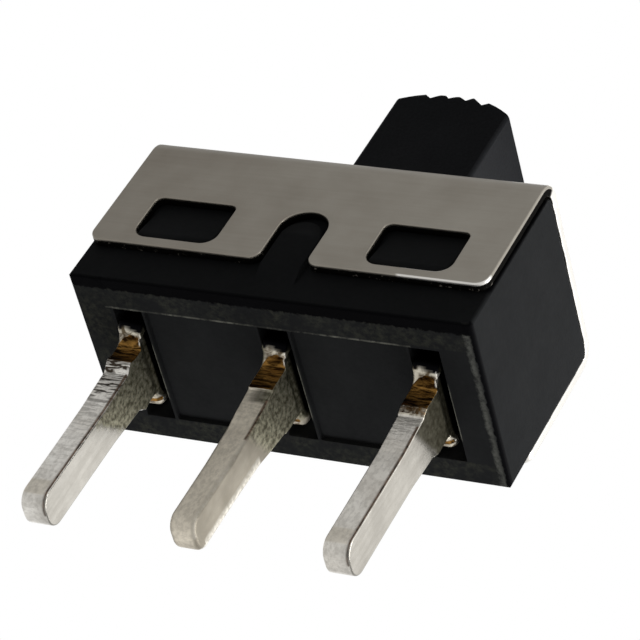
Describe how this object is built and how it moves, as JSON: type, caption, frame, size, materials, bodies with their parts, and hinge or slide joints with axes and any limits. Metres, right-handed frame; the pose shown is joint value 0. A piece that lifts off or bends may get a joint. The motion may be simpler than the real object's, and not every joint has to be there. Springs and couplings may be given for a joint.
{
  "type": "slide switch",
  "caption": "Board-mounted slide switch: black moulded housing under a folded steel cover, a ribbed sliding knob and a row of straight solder terminals.",
  "frame": {"origin": "centre of the housing's underside, the face that is set over the circuit board", "axes": "+X along the travel of the knob, towards the stop at which it is stored; +Y across the body; +Z out of the knob side, so the terminals point to -Z"},
  "size_m": [0.0126, 0.0066, 0.0176],
  "materials": {
    "black_moulding": "moulded glass-filled nylon, satin, worn at its edges",
    "knob_moulding": "moulded acetal, fine satin",
    "cover_steel": "dull nickel-plated steel sheet with fine scratches",
    "terminal_metal": "silver-plated brass, sheared edges partly bare",
    "contact_brass": "stamped brass, lightly plated",
    "plunger_moulding": "natural acetal",
    "spring_steel": "drawn spring wire"
  },
  "bodies": {
    "case": {"housing": "black_moulding", "cover": "cover_steel", "left_terminal": "terminal_metal", "middle_terminal": "terminal_metal", "right_terminal": "terminal_metal"},
    "knob": {"slider": "knob_moulding", "plunger": "plunger_moulding", "plunger_spring": "spring_steel"},
    "rocker": {"rocking_contact": "contact_brass"}
  },
  "joints": [
    {"name": "knob_slide", "type": "slide", "parent": "case", "child": "knob", "axis": [1, 0, 0], "range_m": [-0.002, 0]},
    {"name": "contact_tilt", "type": "hinge", "parent": "case", "child": "rocker", "pos_m": [0, 0, 0.00287], "axis": [0, 1, 0], "range_deg": [-12, 0]}
  ],
  "couplings": [
    {"joint": "contact_tilt", "follows": "knob_slide", "rad_per_m": 104.72}
  ]
}
